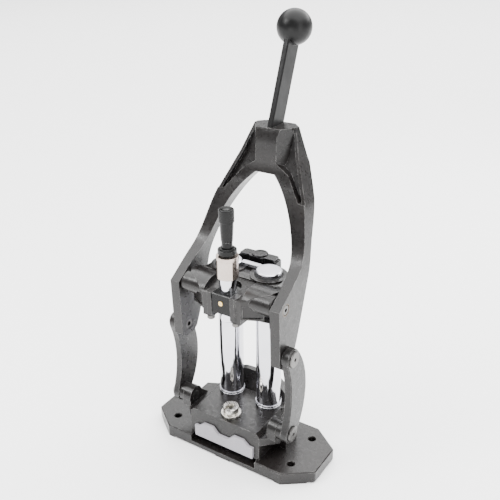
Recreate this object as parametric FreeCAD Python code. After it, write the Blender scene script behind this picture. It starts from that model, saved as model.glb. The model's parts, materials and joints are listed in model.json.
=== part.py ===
import FreeCAD, Part
import math
import os

# Toggle-link bench press in millimetres.
# X is to the right, Y to the back, Z up; the origin is the centre of the four
# bench bolts on the underside of the base plate.

V = FreeCAD.Vector
X_AXIS = V(1, 0, 0)
Y_AXIS = V(0, 1, 0)
Z_AXIS = V(0, 0, 1)

# Base plate
PLATE_HALF_X = 132.5
PLATE_HALF_Y = 55.0
PLATE_TOP = 18.7
PLATE_CORNER_X = 38.0
PLATE_CORNER_Y = 28.0
FOOT_HEIGHT = 2.2
CORNER_FOOT_R = 27.0
EDGE_FOOT_R = 12.0
BOLT_HALF_X = 96.5
BOLT_HALF_Y = 30.0
BOLT_HOLE_R = 5.0
NOTCH_HALF_X = 53.5
NOTCH_FLOOR = 8.1
NOTCH_BACK_Y = -26.0

# Lower block
BLOCK_TOP = 62.0
BLOCK_FRONT_Y = -48.0
BLOCK_BACK_Y = 52.0
BLOCK_HALF_X = 57.0
BLOCK_BEVEL = 5.0
WING_HALF_X = 77.0
WING_BOTTOM = 43.0
WING_TOP = 55.0
WING_BACK_Y = 20.0
LEG_FRONT_Y = -9.0
HUMP_TOP = 88.0
CAVITY_HALF_X = 49.2
CAVITY_BACK_Y = -3.0
CAVITY_TOP = 48.0

# Guide rods
ROD_X = 31.0
ROD_Y = 19.0
ROD_R = 17.5
ROD_TOP = 275.0
ROD_BOTTOM = 24.0
ROD_DOME = 1.4
TIE_BAR_LOW = 269.2
TIE_BAR_HIGH = 273.4
DOWEL_R = 1.7
COLLAR_R = 18.6
COLLAR_TOP = 68.6
FIT = 0.05

# Toggle pivots, as (y, z): yoke to head, yoke to link, link to base
HEAD_PIVOT = (-27.0, 252.0)
LINK_PIVOT = (-25.0, 183.0)
BASE_PIVOT = (-26.0, 66.0)

# Layers of the linkage, outward from the middle
HEAD_SIDE_X = 69.2
LUG_IN_X = 70.0
LUG_OUT_X = 84.0
STUB_END_X = 84.7
LINK_IN_X = 85.0
LINK_OUT_X = 95.0
LINK_HALF_WIDTH = 14.0
LINK_BACK_BULGE = 22.0
LINK_FRONT_BULGE = 11.0
PIN_R = 7.0
PIN_HEAD_R = 11.0
PIN_HEAD_T = 2.4
BUSH_WALL = 1.5

# Head
HEAD_BOTTOM = 222.0
HEAD_TOP = 266.0
HEAD_FRONT_Y = -46.0
ROD_BOSS_R = 25.0
BOSS_TOP = 268.0
WIPER_SEAT = 265.0
WIPER_LIP = 268.7
BARREL_R = 14.0
SLOT_HALF_X = 14.0
SLOT_END_Y = -24.0
COVER_LEDGE = 269.2
COVER_TOP = 278.0
CAP_TOP = 279.6
STOP_X = 19.5
STOP_Y = -42.0
STOP_KNOB_R = 5.2
STOP_KNOB_HEIGHT = 5.0
STOP_SHANK_R = 2.0

# Die and its shuttle
DIE_Y = -30.0
DIE_R = 11.1125
DIE_BOTTOM = 215.0
DIE_TOP = 277.0
DIE_BORE_R = 6.5
SHUTTLE_BOTTOM = 230.0
SHUTTLE_TOP = 258.0
SHUTTLE_FRONT_Y = -47.0
SHUTTLE_GAP = 0.3
SLEEVE_R = 14.0
SLEEVE_TOP = 307.5
SEAL_RING_R = 12.2
SEAL_RING_TOP = 318.0
SPINDLE_R = 7.0
KNOB_BOTTOM = 326.0
KNOB_TOP = 369.5
KNOB_R = 9.8

# Drawer
DRAWER_HALF_X = 48.2
DRAWER_BOTTOM = 19.3
DRAWER_FRONT_Y = -51.5
DRAWER_BACK_Y = -5.0
DRAWER_WALL_TOP = 36.0
MAGNET_R = 3.0
MAGNET_LENGTH = 3.0
MAGNET_X = 32.0
MAGNET_Z = 28.0

# Yoke, handle and ball
BAR_LEAN = math.radians(21.2)
BAR_FOOT = (69.0, 406.0)
BAR_LENGTH = 160.0
BAR_WIDTH = 28.5
BAR_THICK = 8.0
TANG_FRONT_Y = 65.0
CROWN_TOP = 447.0
PANEL_HALF_X = 15.5
SET_SCREW_R = 3.0
SET_SCREW_LENGTH = 6.0
SET_SCREW_HEIGHTS = (421.0, 435.0)
BALL_R = 23.0
BALL_CENTRE = (130.0, 563.0)

os.makedirs("parts", exist_ok=True)


# Helpers

def box(x0, x1, y0, y1, z0, z1):
    return Part.makeBox(x1 - x0, y1 - y0, z1 - z0, V(x0, y0, z0))


def upright(radius, x, y, z0, z1):
    return Part.makeCylinder(radius, z1 - z0, V(x, y, z0), Z_AXIS)


def crosswise(radius, pivot, x0, x1):
    """Cylinder along X about a (y, z) pivot."""
    return Part.makeCylinder(radius, x1 - x0, V(x0, pivot[0], pivot[1]), X_AXIS)


def face_of(points):
    return Part.Face(Part.makePolygon(points + [points[0]]))


def prism_z(outline, z0, z1):
    return face_of([V(x, y, z0) for x, y in outline]).extrude(V(0, 0, z1 - z0))


def prism_y(outline, y0, y1):
    return face_of([V(x, y0, z) for x, z in outline]).extrude(V(0, y1 - y0, 0))


def prism_x(outline, x0, x1):
    return face_of([V(x0, y, z) for y, z in outline]).extrude(V(x1 - x0, 0, 0))


def outline_edges(runs, place):
    """Edges of an outline made of runs of points; a run marked as a curve is a smooth spline."""
    edges = []
    for is_curve, points in runs:
        places = [place(point) for point in points]
        if is_curve:
            curve = Part.BSplineCurve()
            curve.interpolate(places)
            edges.append(curve.toShape())
        else:
            edges += [Part.makeLine(a, b) for a, b in zip(places, places[1:])]
    return edges


def both_halves(outline):
    """Close a right-hand outline with its mirror image in X."""
    return outline + [(-x, other) for x, other in reversed(outline)]


def mirror(shape):
    return shape.mirror(V(0, 0, 0), X_AXIS)


def ring(outer, inner, x, y, z0, z1):
    return upright(outer, x, y, z0, z1).cut(upright(inner, x, y, z0, z1))


def edges_where(shape, test):
    return [edge for edge in shape.Edges if test(edge)]


def at_height(edge, z):
    box_of = edge.BoundBox
    return abs(box_of.ZMin - z) < 0.01 and abs(box_of.ZMax - z) < 0.01


def socket_screw(x, y, seat_z, head_r, head_h, shank_r, shank_end, up=1):
    """Socket-head screw standing on Z; up is the side that its head is on."""
    head = upright(head_r, x, y, min(seat_z, seat_z + up * head_h), max(seat_z, seat_z + up * head_h))
    shank = upright(shank_r, x, y, min(seat_z, shank_end), max(seat_z, shank_end))
    top = seat_z + up * head_h
    recess = upright(head_r * 0.5, x, y, min(top, top - up * head_h * 0.6), max(top, top - up * head_h * 0.6))
    return head.fuse(shank).cut(recess)


def export(name, shape):
    clean = shape.removeSplitter()
    if not clean.isValid():
        raise ValueError(name + " is not a valid solid")
    print(name, "solids", len(clean.Solids), "volume", round(clean.Volume))
    clean.exportStep("parts/" + name + ".step")


# Base

BLOCK_SCREWS = [(67.0, 5.0), (18.0, 44.0)]


def plate_outline():
    return both_halves([
        (PLATE_HALF_X - PLATE_CORNER_X, -PLATE_HALF_Y),
        (PLATE_HALF_X, -PLATE_HALF_Y + PLATE_CORNER_Y),
        (PLATE_HALF_X, PLATE_HALF_Y - PLATE_CORNER_Y),
        (PLATE_HALF_X - PLATE_CORNER_X, PLATE_HALF_Y),
    ])


def base_plate():
    slab = prism_z(plate_outline(), 0, PLATE_TOP)
    slab = slab.makeFillet(4.0, edges_where(slab, lambda e: e.BoundBox.ZLength > 10))
    slab = slab.makeChamfer(1.4, edges_where(slab, lambda e: at_height(e, PLATE_TOP)))
    relief = box(-PLATE_HALF_X - 5, PLATE_HALF_X + 5, -PLATE_HALF_Y - 5, PLATE_HALF_Y + 5, -1, FOOT_HEIGHT)
    for side in (-1, 1):
        for end in (-1, 1):
            relief = relief.cut(upright(CORNER_FOOT_R, side * BOLT_HALF_X, end * BOLT_HALF_Y, -2, FOOT_HEIGHT))
        relief = relief.cut(upright(EDGE_FOOT_R, 0, side * PLATE_HALF_Y, -2, FOOT_HEIGHT))
    plate = slab.cut(relief)
    plate = plate.cut(box(-NOTCH_HALF_X, NOTCH_HALF_X, -PLATE_HALF_Y - 1, NOTCH_BACK_Y,
                          NOTCH_FLOOR, PLATE_TOP + 1))
    for sx in (-1, 1):
        for sy in (-1, 1):
            x, y = sx * BOLT_HALF_X, sy * BOLT_HALF_Y
            plate = plate.cut(upright(BOLT_HOLE_R, x, y, -1, PLATE_TOP + 1))
            lead = Part.makeCone(BOLT_HOLE_R, BOLT_HOLE_R + 1.2, 1.2, V(x, y, PLATE_TOP - 1.2), Z_AXIS)
            plate = plate.cut(lead)
        for x, y in BLOCK_SCREWS:
            plate = plate.cut(upright(3.3, sx * x, y, -1, PLATE_TOP + 1))
            plate = plate.cut(upright(5.8, sx * x, y, -1, 9.0))
        plate = plate.cut(upright(5.3, sx * ROD_X, ROD_Y, -1, PLATE_TOP + 1))
        plate = plate.cut(upright(8.8, sx * ROD_X, ROD_Y, -1, 12.0))
    return plate


def block_wing():
    """Right-hand ledge, flare and leg outside the middle of the block."""
    flare = WING_HALF_X - BLOCK_HALF_X
    ledge = prism_z([
        (BLOCK_HALF_X - 8, BLOCK_FRONT_Y + 8),
        (BLOCK_HALF_X, BLOCK_FRONT_Y),
        (WING_HALF_X, BLOCK_FRONT_Y + flare),
        (WING_HALF_X, WING_BACK_Y),
        (BLOCK_HALF_X - 8, WING_BACK_Y + 14),
    ], WING_BOTTOM, WING_TOP)
    leg = prism_z([
        (BLOCK_HALF_X - 8, LEG_FRONT_Y),
        (WING_HALF_X, LEG_FRONT_Y),
        (WING_HALF_X, WING_BACK_Y),
        (BLOCK_HALF_X - 8, WING_BACK_Y + 14),
    ], PLATE_TOP, WING_BOTTOM)
    ear = crosswise(LINK_HALF_WIDTH, BASE_PIVOT, WING_HALF_X - 13, WING_HALF_X)
    web = prism_x([
        (BASE_PIVOT[0] - 13.5, WING_TOP - 1),
        (BASE_PIVOT[0] - 13.5, BASE_PIVOT[1] + 3),
        (BASE_PIVOT[0] + 13.5, BASE_PIVOT[1] + 3),
        (BASE_PIVOT[0] + 30, WING_TOP - 1),
    ], WING_HALF_X - 13, WING_HALF_X)
    boss = crosswise(13.0, BASE_PIVOT, WING_HALF_X, STUB_END_X - 0.1)
    return ledge.multiFuse([leg, ear, web, boss])


def lip_outline():
    """Right half of the opening above the drawer: a middle tooth and a hump each side."""
    return [(0, 36.0), (8, 36.0), (17, 45.5), (33, 45.5), (42, 38.0), (CAVITY_HALF_X, 38.0)]


def block_hump():
    """Raised web that rises behind the rods and falls away to each side."""
    outline = both_halves([(BLOCK_HALF_X - 2, 40), (BLOCK_HALF_X - 2, BLOCK_TOP + 6), (50, 73),
                           (42, 77), (34, 84), (27, 87), (18, HUMP_TOP)])
    hump = prism_y(outline, 18, BLOCK_BACK_Y)
    slope = prism_x([(10, BLOCK_TOP), (10, HUMP_TOP + 1), (44, HUMP_TOP + 1), (30, BLOCK_TOP)], -80, 80)
    return hump.cut(slope)


def base_block():
    middle = prism_z(both_halves([(BLOCK_HALF_X, BLOCK_FRONT_Y), (BLOCK_HALF_X, BLOCK_BACK_Y)]),
                     PLATE_TOP, BLOCK_TOP)
    middle = middle.makeChamfer(BLOCK_BEVEL, edges_where(
        middle, lambda e: at_height(e, BLOCK_TOP) and abs(e.CenterOfMass.x) > BLOCK_HALF_X - 1))
    wing = block_wing()
    block = middle.multiFuse([wing, mirror(wing), block_hump()])
    block = block.cut(box(-CAVITY_HALF_X, CAVITY_HALF_X, BLOCK_FRONT_Y + 4, CAVITY_BACK_Y,
                          PLATE_TOP - 1, CAVITY_TOP))
    lip = lip_outline()
    mouth = both_halves([(CAVITY_HALF_X, PLATE_TOP - 1)] + list(reversed(lip))[:-1])
    block = block.cut(prism_y(mouth, BLOCK_FRONT_Y - 1, BLOCK_FRONT_Y + 5))
    for side in (-1, 1):
        block = block.cut(upright(ROD_R, side * ROD_X, ROD_Y, ROD_BOTTOM, HUMP_TOP + 1))
        block = block.cut(upright(COLLAR_R, side * ROD_X, ROD_Y, BLOCK_TOP, HUMP_TOP + 1))
        block = block.cut(upright(5.3, side * ROD_X, ROD_Y, PLATE_TOP - 1, ROD_BOTTOM + 1))
        block = block.cut(crosswise(PIN_R, BASE_PIVOT, *sorted((side * 62, side * 90))))
        for x, y in BLOCK_SCREWS:
            block = block.cut(upright(3.0, side * x, y, PLATE_TOP - 1, PLATE_TOP + 18))
        block = block.cut(magnet_blank(side))
    return block.cut(upright(8.0, 0, DIE_Y, CAVITY_TOP - 1, BLOCK_TOP + 1))


def block_screws():
    screws = []
    for side in (-1, 1):
        for x, y in BLOCK_SCREWS:
            screws.append(socket_screw(side * x, y, 9.0, 5.4, 6.0, 3.0, PLATE_TOP + 17, up=-1))
    return Part.makeCompound(screws)


def guide_rod(side):
    rod = upright(ROD_R, side * ROD_X, ROD_Y, ROD_BOTTOM, ROD_TOP)
    rod = rod.makeChamfer(ROD_DOME, edges_where(rod, lambda e: at_height(e, ROD_TOP)))
    rod = rod.cut(upright(5.0, side * ROD_X, ROD_Y, ROD_BOTTOM - 1, ROD_BOTTOM + 26))
    return rod.cut(tie_dowel())


def rod_foot_screws():
    screws = [socket_screw(side * ROD_X, ROD_Y, 12.0, 8.2, 9.0, 5.0, ROD_BOTTOM + 24, up=-1)
              for side in (-1, 1)]
    return Part.makeCompound(screws)


def rod_collars():
    rings = []
    for side in (-1, 1):
        collar = ring(COLLAR_R, ROD_R, side * ROD_X, ROD_Y, BLOCK_TOP, COLLAR_TOP)
        groove = ring(COLLAR_R + 1, COLLAR_R - 0.6, side * ROD_X, ROD_Y, COLLAR_TOP - 3.0, COLLAR_TOP - 2.0)
        rings.append(collar.cut(groove))
    return Part.makeCompound(rings)


def tie_dowel():
    reach = ROD_X - ROD_R + 7
    return Part.makeCylinder(DOWEL_R, 2 * reach, V(-reach, ROD_Y + 6, (TIE_BAR_LOW + TIE_BAR_HIGH) / 2), X_AXIS)


def rod_tie_bar():
    """Flat bar between the rod tops, dowelled into the facing side of each rod."""
    reach = ROD_X - ROD_R + 1.0
    bar = box(-reach, reach, ROD_Y + 2, ROD_Y + 10, TIE_BAR_LOW, TIE_BAR_HIGH)
    for side in (-1, 1):
        bar = bar.cut(upright(ROD_R, side * ROD_X, ROD_Y, TIE_BAR_LOW - 1, TIE_BAR_HIGH + 1))
    return bar.fuse(tie_dowel())


def shell_ram():
    """Threaded post that carries the shell holder."""
    stem = upright(8.0, 0, DIE_Y, CAVITY_TOP, BLOCK_TOP)
    disc = upright(14.0, 0, DIE_Y, BLOCK_TOP, BLOCK_TOP + 4)
    stub = upright(6.0, 0, DIE_Y, BLOCK_TOP + 4, BLOCK_TOP + 8)
    return stem.multiFuse([disc, stub]).cut(upright(3.4, 0, DIE_Y, CAVITY_TOP - 1, BLOCK_TOP + 9))


def shell_holder():
    low, high = BLOCK_TOP + 4, BLOCK_TOP + 14
    body = upright(11.0, 0, DIE_Y, low, high)
    body = body.makeChamfer(0.8, edges_where(body, lambda e: at_height(e, high)))
    body = body.cut(upright(6.0, 0, DIE_Y, low - 1, low + 4))
    body = body.cut(upright(3.4, 0, DIE_Y, low, high + 1))
    slot = box(-6.2, 6.2, DIE_Y - 12, DIE_Y, high - 3.6, high - 1.6).fuse(
        upright(6.2, 0, DIE_Y, high - 3.6, high - 1.6))
    neck = box(-5.0, 5.0, DIE_Y - 12, DIE_Y, high - 2, high + 1).fuse(upright(5.0, 0, DIE_Y, high - 2, high + 1))
    return body.cut(slot).cut(neck)


def catch_drawer():
    tray = box(-DRAWER_HALF_X + 1, DRAWER_HALF_X - 1, BLOCK_FRONT_Y, DRAWER_BACK_Y, DRAWER_BOTTOM, DRAWER_WALL_TOP)
    hollow = box(-DRAWER_HALF_X + 3, DRAWER_HALF_X - 3, BLOCK_FRONT_Y + 2, DRAWER_BACK_Y - 2,
                 DRAWER_BOTTOM + 2, DRAWER_WALL_TOP + 1)
    clear = 0.8
    top = [(x, z - clear) for x, z in lip_outline()[1:-1]] + [(DRAWER_HALF_X, 38.0 - clear)]
    front = both_halves([(DRAWER_HALF_X, DRAWER_BOTTOM)] + list(reversed(top)))
    return tray.cut(hollow).fuse(prism_y(front, DRAWER_FRONT_Y, BLOCK_FRONT_Y + 2))


def magnet_blank(side):
    return Part.makeCylinder(MAGNET_R, MAGNET_LENGTH, V(side * MAGNET_X, CAVITY_BACK_Y, MAGNET_Z), Y_AXIS)


def drawer_magnets():
    return Part.makeCompound([magnet_blank(side) for side in (-1, 1)])


def base_pin(side):
    """Pin through the ear and the lower eye of a link, with a low round head."""
    far = LINK_OUT_X + 0.3
    pin = crosswise(PIN_R, BASE_PIVOT, WING_HALF_X - 13, far)
    head = crosswise(PIN_HEAD_R, BASE_PIVOT, far, far + PIN_HEAD_T)
    head = head.makeChamfer(0.8, edges_where(head, lambda e: abs(e.CenterOfMass.x - far - PIN_HEAD_T) < 0.01))
    recess = crosswise(2.5, BASE_PIVOT, far + PIN_HEAD_T - 1.6, far + PIN_HEAD_T + 1)
    shape = pin.fuse(head).cut(recess)
    return shape if side > 0 else mirror(shape)


# Head

def head_outline():
    return both_halves([
        (SLOT_HALF_X + SHUTTLE_GAP, HEAD_FRONT_Y),
        (29, HEAD_FRONT_Y),
        (55, -31),
        (58, -16),
        (55, 18),
        (44, 41),
        (20, 47),
    ])


def head_barrel():
    """Round shoulder that holds one yoke pivot."""
    barrel = crosswise(BARREL_R, HEAD_PIVOT, 36, HEAD_SIDE_X)
    return barrel.makeFillet(3.0, edges_where(barrel, lambda e: abs(e.CenterOfMass.x - HEAD_SIDE_X) < 0.01))


def head_lobe():
    """Rounded right-hand shoulder over one yoke pivot, trimmed to the head's swept front."""
    inner_x, outer_x = 29.0, 66.0
    runs = [
        (False, [(6, 262), (6, 236), (-44, 236), (-44, 255)]),
        (True, [(-44, 255), (-38, 262), (-27, 266.6), (-12, 267), (6, 262)]),
    ]
    wire = Part.Wire(outline_edges(runs, lambda point: V(inner_x, point[0], point[1])))
    lobe = Part.Face(wire).extrude(V(outer_x - inner_x, 0, 0))
    plan = prism_z([(29, -46), (55, -31), (61, -27), (66, -18), (66, -4), (58, 6), (29, 6)], 230, 272)
    return lobe.common(plan)


def head_panel():
    """Shallow recess in the swept right-hand front face of the head."""
    return prism_z([(30.25, -43.55), (32, -46.6), (55.2, -33.2), (53.45, -30.16)], 232, 249)


def press_head():
    body = prism_z(head_outline(), HEAD_BOTTOM, HEAD_TOP)
    body = body.cut(prism_x([(-60, 254), (-30, 258), (-4, 264), (-4, 280), (-60, 280)], -80, 80))
    under = prism_x([(-60, 200), (-60, 232), (-34, 229), (-20, 221), (-20, 200)], 29, 80)
    body = body.cut(under).cut(mirror(under))
    barrel = head_barrel()
    post = prism_z([(SLOT_HALF_X + SHUTTLE_GAP, HEAD_FRONT_Y - 2), (21, HEAD_FRONT_Y - 2), (23, HEAD_FRONT_Y + 1),
                    (23, -34), (SLOT_HALF_X + SHUTTLE_GAP, -34)], HEAD_BOTTOM + 3, 258)
    bosses = [upright(ROD_BOSS_R, side * ROD_X, ROD_Y, HEAD_BOTTOM, BOSS_TOP) for side in (-1, 1)]
    lobe = head_lobe()
    head = body.multiFuse([barrel, mirror(barrel), lobe, mirror(lobe), post, mirror(post)] + bosses)
    slot = box(-SLOT_HALF_X - SHUTTLE_GAP, SLOT_HALF_X + SHUTTLE_GAP, -60, SLOT_END_Y, HEAD_BOTTOM - 1, HEAD_TOP + 10)
    slot = slot.fuse(upright(SLOT_HALF_X + SHUTTLE_GAP, 0, SLOT_END_Y, HEAD_BOTTOM - 1, HEAD_TOP + 10))
    head = head.cut(slot).cut(head_panel()).cut(mirror(head_panel()))
    groove_r = 2.2
    for side in (-1, 1):
        head = head.cut(upright(ROD_R + 2.5, side * ROD_X, ROD_Y, HEAD_BOTTOM - 1, 275))
        head = head.cut(crosswise(PIN_R, HEAD_PIVOT, *sorted((side * 44, side * 75))))
        head = head.cut(crosswise(groove_r, (-30, 236), *sorted((side * 12, side * 22))))
        head = head.cut(upright(STOP_SHANK_R, side * STOP_X, STOP_Y, HEAD_BOTTOM - 1, HEAD_BOTTOM + 12))
        head = head.cut(Part.makeCylinder(1.7, 9, V(side * 22, 48, 258), V(0, -1, 0)))
        head = head.cut(Part.makeCylinder(1.7, 9, V(side * 22, 48, 234), V(0, -1, 0)))
    return head


def rod_bushings(z0, z1):
    return Part.makeCompound([ring(ROD_R + 2.5, ROD_R + FIT, side * ROD_X, ROD_Y, z0, z1) for side in (-1, 1)])


def rod_wipers():
    """Lipped rings that keep dirt out of the bushings, at the top of the head."""
    rings = []
    for side in (-1, 1):
        seal = ring(ROD_R + 2.5, ROD_R + FIT, side * ROD_X, ROD_Y, WIPER_SEAT, BOSS_TOP)
        lip = ring(ROD_R + 1.2, ROD_R + FIT, side * ROD_X, ROD_Y, BOSS_TOP, WIPER_LIP)
        rings.append(seal.fuse(lip))
    return Part.makeCompound(rings)


def head_pin(side):
    pin = crosswise(PIN_R, HEAD_PIVOT, 44.5, STUB_END_X - 1)
    face = STUB_END_X - 1
    pin = pin.makeChamfer(0.8, edges_where(pin, lambda e: abs(e.CenterOfMass.x - face) < 0.01))
    pin = pin.cut(crosswise(2.5, HEAD_PIVOT, face - 4, face + 1))
    return pin if side > 0 else mirror(pin)


def rear_cover():
    """Housing on the back of the head between the rods, with a wide flat top."""
    spine = prism_z(both_halves([(30, 47.0), (30, 52), (24, 58)]), 230, COVER_TOP - 6)
    ledge = prism_z(both_halves([(30, 38.7), (30, 52), (24, 58)]), COVER_LEDGE, COVER_TOP - 4)
    crown = prism_z(both_halves([(10.5, 36), (12, 38.7), (27, 38.7), (27, 51), (22, 56)]), COVER_LEDGE, COVER_TOP)
    cover = spine.multiFuse([ledge, crown])
    cover = cover.cut(prism_x([(52, 282), (62, 282), (62, 258)], -40, 40))
    for side in (-1, 1):
        for z in (258, 234):
            cover = cover.cut(Part.makeCylinder(1.8, 14, V(side * 22, 60, z), V(0, -1, 0)))
            cover = cover.cut(Part.makeCylinder(3.4, 8, V(side * 22, 62, z), V(0, -1, 0)))
    return cover


def cover_screws():
    screws = []
    for side in (-1, 1):
        for z in (258, 234):
            shank = Part.makeCylinder(1.6, 16, V(side * 22, 56, z), V(0, -1, 0))
            head = Part.makeCylinder(3.0, 2.2, V(side * 22, 54, z), Y_AXIS)
            recess = Part.makeCylinder(1.4, 2, V(side * 22, 55, z), Y_AXIS)
            screws.append(shank.fuse(head).cut(recess))
    return Part.makeCompound(screws)


def cover_cap():
    """Round screw-in cap on top of the rear housing."""
    disc = upright(11.0, 0, 47, COVER_TOP, CAP_TOP)
    disc = disc.makeChamfer(0.6, edges_where(disc, lambda e: at_height(e, CAP_TOP)))
    return disc.cut(upright(7.5, 0, 47, CAP_TOP - 0.5, CAP_TOP + 1))


# Die shuttle, die and micrometer

def die_shuttle():
    width = SLOT_HALF_X
    block = box(-width, width, SHUTTLE_FRONT_Y, SLOT_END_Y, SHUTTLE_BOTTOM, SHUTTLE_TOP)
    block = block.fuse(upright(width, 0, SLOT_END_Y, SHUTTLE_BOTTOM, SHUTTLE_TOP))
    block = block.cut(upright(DIE_R, 0, DIE_Y, SHUTTLE_BOTTOM - 1, SHUTTLE_TOP + 1))
    block = block.makeChamfer(0.8, edges_where(
        block, lambda e: e.BoundBox.XLength > 20 and abs(e.CenterOfMass.y - SHUTTLE_FRONT_Y) < 0.01))
    return block.cut(Part.makeCylinder(2.6, 6, V(0, SHUTTLE_FRONT_Y - 1, 246), Y_AXIS))


def shuttle_screw():
    """Brass-tipped screw that locks the die in the shuttle."""
    shank = Part.makeCylinder(2.6, 4.6, V(0, SHUTTLE_FRONT_Y, 246), Y_AXIS)
    head = Part.makeCylinder(3.2, 1.0, V(0, SHUTTLE_FRONT_Y - 1.0, 246), Y_AXIS)
    slit = box(-3.2, 3.2, SHUTTLE_FRONT_Y - 1.1, SHUTTLE_FRONT_Y - 0.4, 245.6, 246.4)
    return head.fuse(shank).cut(slit)


def stop_screws():
    """Knurled screws under the front posts of the head."""
    screws = []
    low = HEAD_BOTTOM - STOP_KNOB_HEIGHT
    for side in (-1, 1):
        knob = upright(STOP_KNOB_R, side * STOP_X, STOP_Y, low, HEAD_BOTTOM)
        knob = knob.makeChamfer(0.8, edges_where(knob, lambda e: at_height(e, low)))
        screws.append(knob.fuse(upright(STOP_SHANK_R, side * STOP_X, STOP_Y, HEAD_BOTTOM, HEAD_BOTTOM + 12)))
    return Part.makeCompound(screws)


def detent_plungers():
    """Ball-ended plungers in the slot walls that hold the shuttle home."""
    plungers = []
    for side in (-1, 1):
        body = crosswise(2.2, (-30, 236), *sorted((side * (SLOT_HALF_X + SHUTTLE_GAP + 0.2), side * 22)))
        plungers.append(body)
    return Part.makeCompound(plungers)


def die_body():
    body = upright(DIE_R, 0, DIE_Y, DIE_BOTTOM, DIE_TOP)
    body = body.makeChamfer(1.2, edges_where(body, lambda e: at_height(e, DIE_BOTTOM)))
    body = body.cut(upright(DIE_BORE_R, 0, DIE_Y, DIE_BOTTOM - 1, 262))
    return body.cut(upright(4.2, 0, DIE_Y, 261, DIE_TOP + 1))


def die_sleeve():
    """Faceted nickel sleeve screwed on the top of the die body."""
    sides = 12
    points = []
    for index in range(sides):
        angle = 2 * math.pi * index / sides
        points.append((SLEEVE_R * math.cos(angle), DIE_Y + SLEEVE_R * math.sin(angle)))
    sleeve = prism_z(points, DIE_TOP, SLEEVE_TOP)
    rim = upright(SLEEVE_R + 0.5, 0, DIE_Y, SLEEVE_TOP - 5, SLEEVE_TOP)
    return sleeve.fuse(rim).cut(upright(4.2, 0, DIE_Y, DIE_TOP - 1, SLEEVE_TOP + 1))


def seal_ring():
    waist = ring(SEAL_RING_R - 1.6, SPINDLE_R - 1, 0, DIE_Y, SLEEVE_TOP, SLEEVE_TOP + 3)
    flange = ring(SEAL_RING_R, SPINDLE_R - 1, 0, DIE_Y, SLEEVE_TOP + 3, SEAL_RING_TOP - 2)
    top = ring(SEAL_RING_R - 2.5, SPINDLE_R - 1, 0, DIE_Y, SEAL_RING_TOP - 2, SEAL_RING_TOP)
    return waist.multiFuse([flange, top])


def micrometer_barrel():
    """Fixed graduated barrel between the ring and the turning thimble."""
    barrel = ring(SPINDLE_R, 4.2, 0, DIE_Y, SEAL_RING_TOP, KNOB_BOTTOM)
    spigot = ring(SPINDLE_R - 1, 4.2, 0, DIE_Y, SLEEVE_TOP, SEAL_RING_TOP)
    neck = ring(SPINDLE_R - 1.2, 4.2, 0, DIE_Y, KNOB_BOTTOM, KNOB_BOTTOM + 6)
    return barrel.multiFuse([spigot, neck])


def micrometer_thimble():
    """Turning thimble: a tapered skirt under a fluted rim."""
    taper_top = 352.0
    skirt = Part.makeCone(SPINDLE_R + 0.4, KNOB_R - 0.6, taper_top - KNOB_BOTTOM - 0.3,
                          V(0, DIE_Y, KNOB_BOTTOM + 0.3), Z_AXIS)
    rim = upright(KNOB_R, 0, DIE_Y, taper_top, KNOB_TOP)
    rim = rim.makeChamfer(1.0, edges_where(rim, lambda e: at_height(e, KNOB_TOP)))
    thimble = skirt.fuse(rim)
    flutes = []
    count = 20
    for index in range(count):
        angle = 2 * math.pi * index / count
        x = (KNOB_R + 0.5) * math.cos(angle)
        y = DIE_Y + (KNOB_R + 0.5) * math.sin(angle)
        flutes.append(upright(1.0, x, y, taper_top + 3, KNOB_TOP + 1))
    thimble = thimble.cut(Part.makeCompound(flutes))
    thimble = thimble.cut(upright(SPINDLE_R - 0.9, 0, DIE_Y, KNOB_BOTTOM - 1, KNOB_BOTTOM + 6.3))
    return thimble.cut(upright(5.0, 0, DIE_Y, KNOB_TOP - 1.5, KNOB_TOP + 1))


def seating_spindle():
    """Spindle under the thimble that reaches down inside the die."""
    spindle = upright(4.0, 0, DIE_Y, 264, KNOB_BOTTOM + 6)
    return spindle.cut(upright(2.0, 0, DIE_Y, 263, 270))


# Yoke

def yoke_side_runs():
    """Side view of the yoke as (y, z), from the lug's front corner round by the crown."""
    return [
        (False, [(-40, 173), (-43, 255), (6, 288)]),
        (True, [(6, 288), (18, 300), (31, 326), (44, 358), (54, 379), (60, 391)]),
        (False, [(60, 391), (62, 438), (66, CROWN_TOP), (103, CROWN_TOP), (106, 440)]),
        (True, [(106, 440), (90, 398), (68, 352), (47, 318), (27, 270), (10, 218), (0, 190)]),
        (False, [(0, 190), (-8, 173), (-15, 168), (-34, 168), (-40, 173)]),
    ]


def yoke_front_runs():
    """Right half of the front view of the yoke as (x, z), from the crown's top to its underside."""
    return [
        (False, [(0, 450), (30, 450), (44, 411), (66, 362)]),
        (True, [(66, 362), (72, 342), (78, 317), (82, 297), (LUG_OUT_X, 272)]),
        (False, [(LUG_OUT_X, 272), (LUG_OUT_X, 160), (LUG_IN_X, 160), (LUG_IN_X, 268)]),
        (True, [(LUG_IN_X, 268), (67, 288), (61, 310), (52, 336), (42, 356), (30, 373), (14, 389)]),
        (False, [(14, 389), (0, 389)]),
    ]


def yoke_front_blank():
    """Front view of the whole yoke, extruded from front to back."""
    depth = 220
    right = outline_edges(yoke_front_runs(), lambda point: V(point[0], -80, point[1]))
    left = outline_edges(yoke_front_runs(), lambda point: V(-point[0], -80, point[1]))
    wire = Part.Wire(Part.__sortEdges__(right + left))
    return Part.Face(wire).extrude(V(0, depth, 0))


def yoke_side_blank():
    """Side view of the yoke, extruded from left to right."""
    width = 200
    wire = Part.Wire(outline_edges(yoke_side_runs(), lambda point: V(-width / 2, point[0], point[1])))
    return Part.Face(wire).extrude(V(width, 0, 0))


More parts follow.
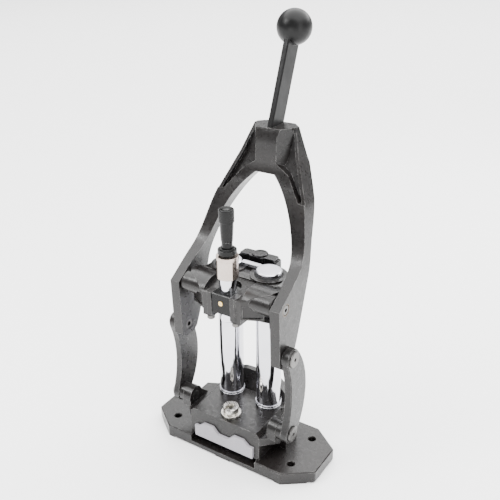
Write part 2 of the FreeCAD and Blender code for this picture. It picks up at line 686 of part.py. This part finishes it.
def crown_pocket():
    """Right-hand recess beside the crown's front panel, bounded by the outer rib and the inner flange."""
    wedge = prism_z([(PANEL_HALF_X, 30), (PANEL_HALF_X, 61.5), (34, 89), (80, 89), (80, 30)], 350, 470)
    depth = prism_x([(30, 470), (87, 470), (84, CROWN_TOP), (77, 411), (56, 362), (30, 362)], 0, 90)
    outline = prism_y([(PANEL_HALF_X - 1, 470), (PANEL_HALF_X - 1, 404), (34, 391), (57, 362), (61, 362),
                       (39.5, 411), (26, 450), (26, 470)], 20, 100)
    return wedge.common(depth).common(outline)


def rib_trim():
    """Material in front of the right-hand outer rib, from the crown's corner down to the rib's end."""
    front = prism_x([(20, 470), (84, 470), (84, CROWN_TOP), (69, 410), (48, 361), (20, 361)], 0, 90)
    outline = prism_y([(26, 470), (26, 450), (39.5, 411), (61, 361), (95, 361), (95, 470)], 10, 100)
    return front.common(outline)


def crown_cut_back():
    return prism_z([(15.5, 120), (15.5, 107), (30.5, 92), (70, 92), (70, 120)], 385, 460)


def yoke():
    body = yoke_side_blank().common(yoke_front_blank())
    for cutter in (crown_pocket(), rib_trim(), crown_cut_back()):
        body = body.cut(cutter).cut(mirror(cutter))
    for sign in (-1, 1):
        body = body.cut(crosswise(PIN_R + BUSH_WALL, HEAD_PIVOT, *sorted((sign * 60, sign * 90))))
        body = body.cut(crosswise(PIN_R, LINK_PIVOT, *sorted((sign * 60, sign * 90))))
    body = body.cut(bar_blank(0.0))
    for z in SET_SCREW_HEIGHTS:
        body = body.cut(set_screw_blank(z, 30.0))
    return body


def bar_back_y(z):
    """Y of the back face of the handle bar at height z."""
    return BAR_FOOT[0] + (z - BAR_FOOT[1]) * math.tan(BAR_LEAN) + BAR_WIDTH / 2 / math.cos(BAR_LEAN)


def set_screw_blank(z, length):
    return Part.makeCylinder(SET_SCREW_R, length, V(0, bar_back_y(z + SET_SCREW_R) + FIT, z), Y_AXIS)


def bar_blank(grow):
    """Flat handle bar, leaning back, with its foot cut narrower to fit inside the crown."""
    half_thick = BAR_THICK / 2 + grow
    half_wide = BAR_WIDTH / 2 + grow
    bar = box(-half_thick, half_thick, -half_wide, half_wide, 0, BAR_LENGTH)
    bar = bar.makeFillet(1.6, edges_where(bar, lambda e: e.BoundBox.ZLength > 100))
    bar.rotate(V(0, 0, 0), X_AXIS, -math.degrees(BAR_LEAN))
    bar.translate(V(0, BAR_FOOT[0], BAR_FOOT[1]))
    shoulder = box(-half_thick - 1, half_thick + 1, BAR_FOOT[0] - 40, TANG_FRONT_Y, BAR_FOOT[1] - 20, CROWN_TOP)
    return bar.cut(shoulder)


def handle_bar():
    return bar_blank(0.0).cut(ball_solid())


def ball_solid():
    return Part.makeSphere(BALL_R, V(0, BALL_CENTRE[0], BALL_CENTRE[1]))


def yoke_bushing(side):
    bush = crosswise(PIN_R + BUSH_WALL, HEAD_PIVOT, LUG_IN_X, LUG_OUT_X)
    bush = bush.cut(crosswise(PIN_R + FIT, HEAD_PIVOT, LUG_IN_X - 1, LUG_OUT_X + 1))
    return bush if side > 0 else mirror(bush)


def lug_pin(side):
    """Pin in the lower lug of the yoke; it stops just short of the link."""
    pin = crosswise(PIN_R, LINK_PIVOT, LUG_IN_X + 0.6, STUB_END_X)
    pin = pin.cut(crosswise(3.2, LINK_PIVOT, LUG_IN_X, LUG_IN_X + 7))
    return pin if side > 0 else mirror(pin)


# Side links

def link_band(bulge):
    """Curved flat band with a round eye at each end, its outer rim chamfered."""
    top = V(LINK_IN_X, LINK_PIVOT[0], LINK_PIVOT[1])
    low = V(LINK_IN_X, BASE_PIVOT[0], BASE_PIVOT[1])
    half = LINK_HALF_WIDTH
    half_chord = (top - low).Length / 2
    bend_r = (half_chord ** 2 + bulge ** 2) / (2 * bulge)
    middle = (top + low) * 0.5 + V(0, bulge, 0)
    centre = middle - V(0, bend_r, 0)
    out_top = (top - centre).normalize() * half
    out_low = (low - centre).normalize() * half
    tip_top = X_AXIS.cross(out_top)
    tip_low = out_low.cross(X_AXIS)
    edges = [
        Part.Arc(top - out_top, middle - V(0, half, 0), low - out_low),
        Part.Arc(low - out_low, low + tip_low, low + out_low),
        Part.Arc(low + out_low, middle + V(0, half, 0), top + out_top),
        Part.Arc(top + out_top, top + tip_top, top - out_top),
    ]
    wire = Part.Wire([edge.toShape() for edge in edges])
    band = Part.Face(wire).extrude(V(LINK_OUT_X - LINK_IN_X, 0, 0))
    return band.makeChamfer(1.2, edges_where(band, lambda e: abs(e.CenterOfMass.x - LINK_OUT_X) < 0.01))


def side_link(side):
    link = link_band(LINK_BACK_BULGE).fuse(link_band(LINK_FRONT_BULGE))
    link = link.cut(crosswise(PIN_R + BUSH_WALL, BASE_PIVOT, LINK_IN_X - 1, LINK_OUT_X + 1))
    link = link.cut(crosswise(5.0, LINK_PIVOT, LINK_IN_X + 3, LINK_OUT_X + 1))
    return link if side > 0 else mirror(link)


def link_bushing(side):
    bush = crosswise(PIN_R + BUSH_WALL, BASE_PIVOT, LINK_IN_X, LINK_OUT_X)
    bush = bush.cut(crosswise(PIN_R + FIT, BASE_PIVOT, LINK_IN_X - 1, LINK_OUT_X + 1))
    return bush if side > 0 else mirror(bush)


def link_cap(side):
    """Round head on the outside of a link's upper eye."""
    cap = crosswise(PIN_HEAD_R, LINK_PIVOT, LINK_OUT_X, LINK_OUT_X + PIN_HEAD_T)
    far = LINK_OUT_X + PIN_HEAD_T
    cap = cap.makeChamfer(0.8, edges_where(cap, lambda e: abs(e.CenterOfMass.x - far) < 0.01))
    stem = crosswise(5.0, LINK_PIVOT, LINK_IN_X + 3, LINK_OUT_X)
    cap = cap.fuse(stem).cut(crosswise(2.5, LINK_PIVOT, far - 1.6, far + 1))
    return cap if side > 0 else mirror(cap)


def handle_set_screws():
    screws = []
    for z in SET_SCREW_HEIGHTS:
        screw = set_screw_blank(z, SET_SCREW_LENGTH)
        mouth_y = bar_back_y(z + SET_SCREW_R) + SET_SCREW_LENGTH
        screws.append(screw.cut(Part.makeCylinder(1.5, 3.0, V(0, mouth_y - 2.5, z), Y_AXIS)))
    return Part.makeCompound(screws)


def build():
    export("base_plate", base_plate())
    export("base_block", base_block())
    export("block_screws", block_screws())
    export("rod_foot_screws", rod_foot_screws())
    export("rod_collars", rod_collars())
    export("rod_tie_bar", rod_tie_bar())
    export("shell_ram", shell_ram())
    export("shell_holder", shell_holder())
    export("catch_drawer", catch_drawer())
    export("drawer_magnets", drawer_magnets())
    export("press_head", press_head())
    export("rod_bushings_upper", rod_bushings(245, WIPER_SEAT))
    export("rod_bushings_lower", rod_bushings(HEAD_BOTTOM, 242))
    export("rod_wipers", rod_wipers())
    export("rear_cover", rear_cover())
    export("cover_screws", cover_screws())
    export("cover_cap", cover_cap())
    export("die_shuttle", die_shuttle())
    export("shuttle_screw", shuttle_screw())
    export("stop_screws", stop_screws())
    export("detent_plungers", detent_plungers())
    export("die_body", die_body())
    export("die_sleeve", die_sleeve())
    export("seal_ring", seal_ring())
    export("micrometer_barrel", micrometer_barrel())
    export("micrometer_thimble", micrometer_thimble())
    export("seating_spindle", seating_spindle())
    export("yoke", yoke())
    export("handle_bar", handle_bar())
    export("ball_knob", ball_solid())
    export("handle_set_screws", handle_set_screws())
    for side, word in ((-1, "left"), (1, "right")):
        export("guide_rod_" + word, guide_rod(side))
        export("base_pin_" + word, base_pin(side))
        export("head_pin_" + word, head_pin(side))
        export("yoke_bushing_" + word, yoke_bushing(side))
        export("lug_pin_" + word, lug_pin(side))
        export("side_link_" + word, side_link(side))
        export("link_bushing_" + word, link_bushing(side))
        export("link_cap_" + word, link_cap(side))


build()
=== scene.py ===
import json
import math

import bmesh
import bpy
from mathutils import Matrix, Vector


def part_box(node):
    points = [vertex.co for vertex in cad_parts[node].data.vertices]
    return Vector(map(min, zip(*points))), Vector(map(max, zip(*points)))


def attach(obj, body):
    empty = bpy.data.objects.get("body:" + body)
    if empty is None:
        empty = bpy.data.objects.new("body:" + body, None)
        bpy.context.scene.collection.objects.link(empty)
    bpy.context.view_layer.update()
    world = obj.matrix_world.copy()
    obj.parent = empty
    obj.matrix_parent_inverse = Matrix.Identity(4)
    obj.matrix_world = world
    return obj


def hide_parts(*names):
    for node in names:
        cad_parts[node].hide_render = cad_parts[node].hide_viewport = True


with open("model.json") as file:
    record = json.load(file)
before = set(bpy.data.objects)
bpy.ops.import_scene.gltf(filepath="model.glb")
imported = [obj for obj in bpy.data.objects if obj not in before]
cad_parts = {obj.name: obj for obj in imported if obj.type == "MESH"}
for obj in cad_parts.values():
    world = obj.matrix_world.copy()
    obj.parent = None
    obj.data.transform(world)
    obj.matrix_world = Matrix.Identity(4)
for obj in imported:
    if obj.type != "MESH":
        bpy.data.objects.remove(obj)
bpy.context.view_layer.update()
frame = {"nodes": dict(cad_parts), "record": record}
NODES = frame["nodes"]
MM = 0.001


# Camera, in metres, degrees and millimetres of lens

CAMERA_TARGET = Vector((0.00195, 0.0190, 0.29526))
CAMERA_AZIMUTH = 33.14
CAMERA_ELEVATION = 25.08
CAMERA_ROLL = -0.55
CAMERA_DISTANCE = 0.91973
CAMERA_LENS = 50.65


def make_camera():
    azimuth = math.radians(CAMERA_AZIMUTH)
    elevation = math.radians(CAMERA_ELEVATION)
    roll = math.radians(CAMERA_ROLL)
    level = math.cos(elevation)
    back = Vector((math.sin(azimuth) * level, -math.cos(azimuth) * level, math.sin(elevation)))
    right = Vector((math.cos(azimuth), math.sin(azimuth), 0))
    up = back.cross(right)
    rolled_right = right * math.cos(roll) + up * math.sin(roll)
    rolled_up = up * math.cos(roll) - right * math.sin(roll)
    camera = bpy.data.objects.new("camera", bpy.data.cameras.new("camera"))
    camera.data.lens = CAMERA_LENS
    camera.data.sensor_width = 36.0
    camera.data.clip_start = 0.01
    axes = Matrix((rolled_right, rolled_up, back)).transposed()
    camera.matrix_world = Matrix.Translation(CAMERA_TARGET + back * CAMERA_DISTANCE) @ axes.to_4x4()
    bpy.context.scene.collection.objects.link(camera)
    bpy.context.scene.camera = camera


# Light and floor: metres and watts

LIGHT_TARGET = (0, 0, 0.28)
OVERHEAD_PLACE = (0, 3.0, 6.0)
OVERHEAD_TARGET = (0, 3.0, 0)
OVERHEAD_SIDE = 14.0
OVERHEAD_POWER = 3700
WORLD_STRENGTH = 0.6
FLOOR_HALF = 20.0
FLOOR_TONE = 0.96
FLOOR_ROUGHNESS = 0.7


def area_light(name, place, target, size, power):
    data = bpy.data.lights.new(name, "AREA")
    data.shape = "RECTANGLE"
    data.size, data.size_y = size
    data.energy = power
    light = bpy.data.objects.new(name, data)
    light.location = place
    aim = Vector(target) - Vector(place)
    light.rotation_euler = aim.to_track_quat("-Z", "Y").to_euler()
    bpy.context.scene.collection.objects.link(light)


def make_light():
    area_light("overhead", OVERHEAD_PLACE, OVERHEAD_TARGET, (OVERHEAD_SIDE, OVERHEAD_SIDE), OVERHEAD_POWER)
    area_light("key", (-0.9, -1.0, 1.5), LIGHT_TARGET, (0.5, 0.5), 20)
    area_light("fill_right", (1.5, -0.5, 0.7), LIGHT_TARGET, (0.35, 1.2), 10)
    area_light("front_low", (0.2, -1.6, 0.35), LIGHT_TARGET, (1.0, 0.3), 5)
    area_light("back_rim", (0.4, 1.4, 1.1), LIGHT_TARGET, (1.2, 0.3), 12)
    world = bpy.data.worlds.new("studio")
    world.use_nodes = True
    background = world.node_tree.nodes["Background"]
    background.inputs["Color"].default_value = (1.0, 1.0, 1.0, 1)
    background.inputs["Strength"].default_value = WORLD_STRENGTH
    bpy.context.scene.world = world


def make_floor():
    mesh = bpy.data.meshes.new("floor")
    half = FLOOR_HALF
    corners = [(-half, -half, 0), (half, -half, 0), (half, half, 0), (-half, half, 0)]
    mesh.from_pydata(corners, [], [(0, 1, 2, 3)])
    floor = bpy.data.objects.new("floor", mesh)
    bpy.context.scene.collection.objects.link(floor)
    material = bpy.data.materials.new("floor")
    material.use_nodes = True
    shader = material.node_tree.nodes["Principled BSDF"]
    shader.inputs["Base Color"].default_value = (FLOOR_TONE, FLOOR_TONE, FLOOR_TONE, 1)
    shader.inputs["Roughness"].default_value = FLOOR_ROUGHNESS
    mesh.materials.append(material)


# Material building blocks

class Recipe:
    """One procedural material under construction."""

    def __init__(self, name, metallic=0.0, coat=0.0, specular=0.5):
        self.material = bpy.data.materials.new(name)
        self.material.use_nodes = True
        self.tree = self.material.node_tree
        self.shader = self.tree.nodes["Principled BSDF"]
        self.shader.inputs["Metallic"].default_value = metallic
        self.shader.inputs["Coat Weight"].default_value = coat
        self.shader.inputs["Coat Roughness"].default_value = 0.15
        self.shader.inputs["Specular IOR Level"].default_value = specular
        self.place = self.add("ShaderNodeTexCoord").outputs["Object"]

    def add(self, kind, **values):
        node = self.tree.nodes.new(kind)
        for key, value in values.items():
            setattr(node, key, value)
        return node

    def link(self, source, target):
        self.tree.links.new(source, target)

    def stretched(self, scale):
        mapping = self.add("ShaderNodeMapping")
        mapping.inputs["Scale"].default_value = scale
        self.link(self.place, mapping.inputs["Vector"])
        return mapping.outputs["Vector"]

    def noise(self, scale, detail, stretch=(1, 1, 1)):
        node = self.add("ShaderNodeTexNoise")
        node.inputs["Scale"].default_value = scale
        node.inputs["Detail"].default_value = detail
        self.link(self.stretched(stretch), node.inputs["Vector"])
        return node.outputs["Fac"]

    def ramp(self, source, low, high, at_low=0.0, at_high=1.0):
        node = self.add("ShaderNodeMapRange")
        node.inputs["From Min"].default_value = low
        node.inputs["From Max"].default_value = high
        node.inputs["To Min"].default_value = at_low
        node.inputs["To Max"].default_value = at_high
        self.link(source, node.inputs["Value"])
        return node.outputs["Result"]

    def blend(self, factor, first, second):
        node = self.add("ShaderNodeMix", data_type="RGBA")
        self.link(factor, node.inputs["Factor"])
        for socket, value in ((node.inputs[6], first), (node.inputs[7], second)):
            if isinstance(value, tuple):
                socket.default_value = (*value, 1)
            else:
                self.link(value, socket)
        return node.outputs[2]

    def maths(self, operation, first, second):
        node = self.add("ShaderNodeMath", operation=operation)
        self.link(first, node.inputs[0])
        self.link(second, node.inputs[1])
        return node.outputs[0]

    def edges(self, width):
        """1 on sharp outer edges, 0 on open faces."""
        bevel = self.add("ShaderNodeBevel", samples=4)
        bevel.inputs["Radius"].default_value = width
        geometry = self.add("ShaderNodeNewGeometry")
        dot = self.add("ShaderNodeVectorMath", operation="DOT_PRODUCT")
        self.link(bevel.outputs["Normal"], dot.inputs[0])
        self.link(geometry.outputs["Normal"], dot.inputs[1])
        return self.ramp(dot.outputs["Value"], 0.99, 0.85)

    def upward(self, amount):
        """The given amount on faces that look up, 0 on the others."""
        split = self.add("ShaderNodeSeparateXYZ")
        self.link(self.add("ShaderNodeNewGeometry").outputs["Normal"], split.inputs[0])
        return self.ramp(split.outputs["Z"], 0.6, 0.9, 0.0, amount)

    def colour(self, source):
        self.link(source, self.shader.inputs["Base Color"])

    def roughness(self, source):
        self.link(source, self.shader.inputs["Roughness"])

    def bump(self, source, height, previous=None):
        node = self.add("ShaderNodeBump")
        node.inputs["Strength"].default_value = 1.0
        node.inputs["Distance"].default_value = height
        self.link(source, node.inputs["Height"])
        if previous is not None:
            self.link(previous, node.inputs["Normal"])
        self.link(node.outputs["Normal"], self.shader.inputs["Normal"])
        return node.outputs["Normal"]


SKIN_HEIGHT = 0.00003
# Edge lightening on the coated castings: partly rubbed wear, partly a painted highlight along the sharp
# edges.
WORN_AND_HIGHLIT_EDGE = 0.0009
WORN_AND_HIGHLIT_FINE_EDGE = 0.0005
BARE_METAL_AND_HIGHLIGHT = (0.22, 0.215, 0.21)
# Grey for the edges of smooth black parts: rubbed wear and a painted highlight.
WORN_AND_HIGHLIT_BLACK = (0.3, 0.3, 0.3)


def powder_coat(name, deep, light, gloss=(0.24, 0.4), grain=0.00012):
    """Textured black coat on a casting: orange-peel grain, faint dust, and edges lightened towards bare
    metal, partly as rubbed wear and partly as a painted highlight.
    """
    recipe = Recipe(name, coat=0.08, specular=0.32)
    pebble = recipe.noise(900.0, 2.0)
    swell = recipe.noise(60.0, 3.0)
    patches = recipe.ramp(recipe.noise(14.0, 4.0), 0.35, 0.7)
    fleck = recipe.ramp(recipe.noise(1500.0, 1.0), 0.62, 0.75, 0.0, 0.6)
    base = recipe.blend(patches, deep, light)
    speckled = recipe.blend(fleck, base, tuple(min(1.0, c * 2.6) for c in light))
    patchy_wear_and_highlight = recipe.ramp(recipe.noise(120.0, 3.0), 0.4, 0.62)
    # Sharp edges turn grey: rubbed wear and a painted edge highlight, broken up by noise.
    edge_wear_and_highlight = recipe.maths("MULTIPLY", recipe.edges(WORN_AND_HIGHLIT_EDGE), patchy_wear_and_highlight)
    recipe.colour(recipe.blend(edge_wear_and_highlight, speckled, BARE_METAL_AND_HIGHLIGHT))
    recipe.roughness(recipe.ramp(recipe.noise(220.0, 4.0), 0.3, 0.7, gloss[0], gloss[1]))
    rough = recipe.bump(pebble, grain)
    recipe.bump(swell, grain * 3, rough)
    return recipe.material


def bright_metal(name, tone, dark, gloss, streak=(1, 1, 1), scratch=0.00001, satin_top=0.0):
    """Bare metal with fine machining lines and slight staining; upward faces can be duller."""
    recipe = Recipe(name, metallic=1.0)
    lines = recipe.noise(700.0, 2.0, streak)
    stains = recipe.ramp(recipe.noise(25.0, 4.0), 0.4, 0.75)
    recipe.colour(recipe.blend(stains, tone, dark))
    sheen = recipe.ramp(lines, 0.3, 0.7, gloss[0], gloss[1])
    recipe.roughness(recipe.maths("ADD", sheen, recipe.upward(satin_top)))
    recipe.bump(lines, scratch)
    return recipe.material


def smooth_black(name, tone, light, gloss, coat=0.0):
    """Moulded, anodised or sprayed black part with a fine skin and lighter edges, partly rubbed wear and
    partly a painted highlight.
    """
    recipe = Recipe(name, coat=coat, specular=0.18)
    skin = recipe.noise(1300.0, 2.0)
    smudge = recipe.ramp(recipe.noise(30.0, 4.0), 0.35, 0.7)
    patchy_wear_and_highlight = recipe.ramp(recipe.noise(150.0, 3.0), 0.42, 0.6)
    # Sharp edges turn grey: rubbed wear and a painted edge highlight, broken up by noise.
    edge_wear_and_highlight = recipe.maths("MULTIPLY", recipe.edges(WORN_AND_HIGHLIT_FINE_EDGE), patchy_wear_and_highlight)
    recipe.colour(recipe.blend(edge_wear_and_highlight, recipe.blend(smudge, tone, light), WORN_AND_HIGHLIT_BLACK))
    recipe.roughness(recipe.ramp(recipe.noise(90.0, 4.0), 0.3, 0.7, gloss[0], gloss[1]))
    recipe.bump(skin, SKIN_HEIGHT)
    return recipe.material


def make_materials():
    around = (1, 1, 14)
    return {
        "cast_black": powder_coat("cast_black", (0.003, 0.0026, 0.0025), (0.0095, 0.0080, 0.0076)),
        "rod_chrome": bright_metal("rod_chrome", (0.68, 0.68, 0.72), (0.58, 0.58, 0.62), (0.05, 0.1),
                                   around, 0.000002, 0.4),
        "nickel": bright_metal("nickel", (0.5, 0.43, 0.385), (0.4, 0.34, 0.3), (0.2, 0.32), around),
        "bright_steel": bright_metal("bright_steel", (0.62, 0.6, 0.56), (0.45, 0.43, 0.38),
                                     (0.18, 0.34), around),
        "dark_steel": bright_metal("dark_steel", (0.09, 0.088, 0.085), (0.16, 0.155, 0.15), (0.25, 0.42)),
        "bronze": bright_metal("bronze", (0.13, 0.105, 0.08), (0.09, 0.075, 0.06), (0.35, 0.5), around),
        "brass": bright_metal("brass", (0.83, 0.62, 0.26), (0.68, 0.48, 0.2), (0.18, 0.3)),
        "seal_rubber": smooth_black("seal_rubber", (0.012, 0.012, 0.012), (0.02, 0.02, 0.02), (0.5, 0.65)),
        "gloss_black": smooth_black("gloss_black", (0.003, 0.003, 0.003), (0.006, 0.006, 0.006),
                                    (0.16, 0.28), coat=0.1),
        "anodised_black": smooth_black("anodised_black", (0.002, 0.002, 0.002), (0.005, 0.005, 0.005),
                                       (0.2, 0.32)),
        "bar_black": smooth_black("bar_black", (0.003, 0.003, 0.003), (0.005, 0.005, 0.0052), (0.34, 0.46)),
        "ball_black": smooth_black("ball_black", (0.004, 0.004, 0.004), (0.007, 0.007, 0.0072), (0.3, 0.4)),
        "drawer_grey": powder_coat("drawer_grey", (0.26, 0.25, 0.27), (0.31, 0.3, 0.325),
                                   (0.4, 0.55), 0.00006),
    }


# Surfaces of the carried-over parts

CAST_BEVEL = {"base_plate": 1.2, "base_block": 1.6, "press_head": 1.2, "yoke": 1.6,
              "side_link_left": 1.0, "side_link_right": 1.0}
FINE_BEVEL = 0.35
BEVEL_SEGMENTS = 3
BEVEL_ANGLE = 28
WELD_DISTANCE = 0.00001


def round_edges(node, width_mm):
    """Welds the facets of a CAD part and rounds its sharp edges."""
    weld = node.modifiers.new("weld", "WELD")
    weld.merge_threshold = WELD_DISTANCE
    bevel = node.modifiers.new("round_edges", "BEVEL")
    bevel.width = width_mm * MM
    bevel.segments = BEVEL_SEGMENTS
    bevel.limit_method = "ANGLE"
    bevel.angle_limit = math.radians(BEVEL_ANGLE)
    bevel.harden_normals = True
    node.data.polygons.foreach_set("use_smooth", [True] * len(node.data.polygons))
    normals = node.modifiers.new("normals", "WEIGHTED_NORMAL")
    normals.keep_sharp = True


def dress_cad_parts(materials):
    slots = {part["node"]: part["material_slot"] for part in frame["record"]["subparts"]}
    for name, node in NODES.items():
        node.data.materials.clear()
        node.data.materials.append(materials[slots[name]])
        round_edges(node, CAST_BEVEL.get(name, FINE_BEVEL))


# Mesh building blocks

def finish_mesh(name, shape, slot, body, nodes, smooth_angle=35):
    """Turns a bmesh into a piece that stands for CAD nodes."""
    bmesh.ops.remove_doubles(shape, verts=shape.verts, dist=1e-7)
    bmesh.ops.recalc_face_normals(shape, faces=shape.faces)
    mesh = bpy.data.meshes.new(name)
    shape.to_mesh(mesh)
    shape.free()
    mesh.materials.append(MATERIALS[slot])
    piece = bpy.data.objects.new(name, mesh)
    bpy.context.scene.collection.objects.link(piece)
    mesh.shade_smooth()
    mesh.set_sharp_from_angle(angle=math.radians(smooth_angle))
    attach(piece, body)
    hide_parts(*nodes)


def lathe(shape, profile, centre, segments, wobble=None):
    """Revolves (radius, height) points about a vertical axis through centre, closing at the axis."""
    rings = []
    for radius, height in profile:
        ring = []
        for index in range(segments):
            angle = 2 * math.pi * index / segments
            reach = radius + (wobble(angle, height) if wobble else 0.0)
            ring.append(shape.verts.new((centre[0] + reach * math.cos(angle),
                                         centre[1] + reach * math.sin(angle), height)))
        rings.append(ring)
    for low, high in zip(rings, rings[1:]):
        for index in range(segments):
            after = (index + 1) % segments
            shape.faces.new((low[index], low[after], high[after], high[index]))
    shape.faces.new(list(reversed(rings[0])))
    shape.faces.new(rings[-1])


def rounded(profile, radius):
    """Rounds every corner between the two ends of a (radius, height) profile."""
    steps = 4
    points = [Vector(point) for point in profile]
    result = [points[0]]
    for before, corner, after in zip(points, points[1:], points[2:]):
        reach = min(radius, (before - corner).length * 0.45, (after - corner).length * 0.45)
        start = corner + (before - corner).normalized() * reach
        end = corner + (after - corner).normalized() * reach
        for step in range(steps + 1):
            t = step / steps
            result.append(start * (1 - t) ** 2 + corner * 2 * t * (1 - t) + end * t ** 2)
    result.append(points[-1])
    return [tuple(point) for point in result]


def middle_of(node):
    low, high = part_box(node)
    return (low + high) / 2


# Detailed pieces, with sizes in millimetres

ROD_SHOULDER = 2.0
ROD_EDGE_WIDTH = 1.6
ROD_DOME = 0.5
ROD_ROUNDING = 0.55
THIMBLE_RIM = 17.5
THIMBLE_WAIST = 7.4
KNURLS = 40
KNURL_DEPTH = 0.28


def build_guide_rods():
    """Ground and chromed rods with slightly domed tops."""
    for side in ("left", "right"):
        node = "guide_rod_" + side
        low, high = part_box(node)
        centre = middle_of(node)
        radius = (high.x - low.x) / 2
        inner = radius - ROD_EDGE_WIDTH * MM
        dome = ROD_DOME * MM
        shoulder = high.z - ROD_SHOULDER * MM
        edge = [(0.0001, low.z), (radius, low.z), (radius, shoulder), (inner, high.z - dome)]
        top = []
        steps = 8
        for step in range(1, steps + 1):
            turn = step / steps * math.pi / 2
            top.append((max(inner * math.cos(turn), 0.00005), high.z - dome + dome * math.sin(turn)))
        shape = bmesh.new()
        lathe(shape, rounded(edge, ROD_ROUNDING * MM) + top, centre, 128)
        finish_mesh("polished_" + node, shape, "rod_chrome", "base", [node])


def build_ball():
    """Ball knob as a smooth sphere."""
    low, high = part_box("ball_knob")
    radius = (high.z - low.z) / 2
    shape = bmesh.new()
    bmesh.ops.create_uvsphere(shape, u_segments=96, v_segments=64, radius=radius)
    bmesh.ops.translate(shape, verts=shape.verts, vec=middle_of("ball_knob"))
    finish_mesh("ball_knob_turned", shape, "ball_black", "yoke_body", ["ball_knob"])


def thimble_profile(low_z, high_z, radius):
    """Half section of the thimble: tapered skirt, straight rim and a shallow dished top."""
    rim_low = high_z - THIMBLE_RIM * MM
    waist = THIMBLE_WAIST * MM
    neck = radius - 0.9 * MM
    profile = [(6.2 * MM, low_z + 0.2 * MM), (waist, low_z + 0.2 * MM)]
    steps = 10
    for step in range(1, steps + 1):
        share = step / steps
        profile.append((waist + (neck - waist) * share ** 0.8, low_z + (rim_low - low_z) * share))
    profile += [(neck, rim_low + 0.4 * MM), (radius, rim_low + 1.0 * MM)]
    knurl_low = rim_low + 1.7 * MM
    knurl_high = high_z - 1.4 * MM
    rows = 6
    for row in range(rows + 1):
        profile.append((radius, knurl_low + (knurl_high - knurl_low) * row / rows))
    profile += [(radius, high_z - 1.0 * MM), (radius - 0.8 * MM, high_z - 0.1 * MM)]
    profile += [(radius - 2.4 * MM, high_z - 0.1 * MM), (radius - 3.0 * MM, high_z - 0.9 * MM)]
    profile += [(2.6 * MM, high_z - 0.9 * MM), (2.2 * MM, high_z - 1.8 * MM), (0.1 * MM, high_z - 1.8 * MM)]
    return profile


def build_thimble():
    """Micrometer thimble with a straight-knurled rim."""
    low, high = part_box("micrometer_thimble")
    radius = (high.x - low.x) / 2
    knurl_low = high.z - THIMBLE_RIM * MM + 1.5 * MM
    knurl_high = high.z - 1.2 * MM

    def knurl(angle, height):
        if knurl_low < height < knurl_high:
            return KNURL_DEPTH * MM * (abs(math.sin(angle * KNURLS / 2)) - 1.0)
        return 0.0

    shape = bmesh.new()
    lathe(shape, thimble_profile(low.z, high.z, radius), middle_of("micrometer_thimble"), KNURLS * 6, knurl)
    finish_mesh("thimble_knurled", shape, "anodised_black", "thimble", ["micrometer_thimble"], 75)


make_camera()
make_light()
make_floor()
MATERIALS = make_materials()
dress_cad_parts(MATERIALS)
build_guide_rods()
build_ball()
build_thimble()
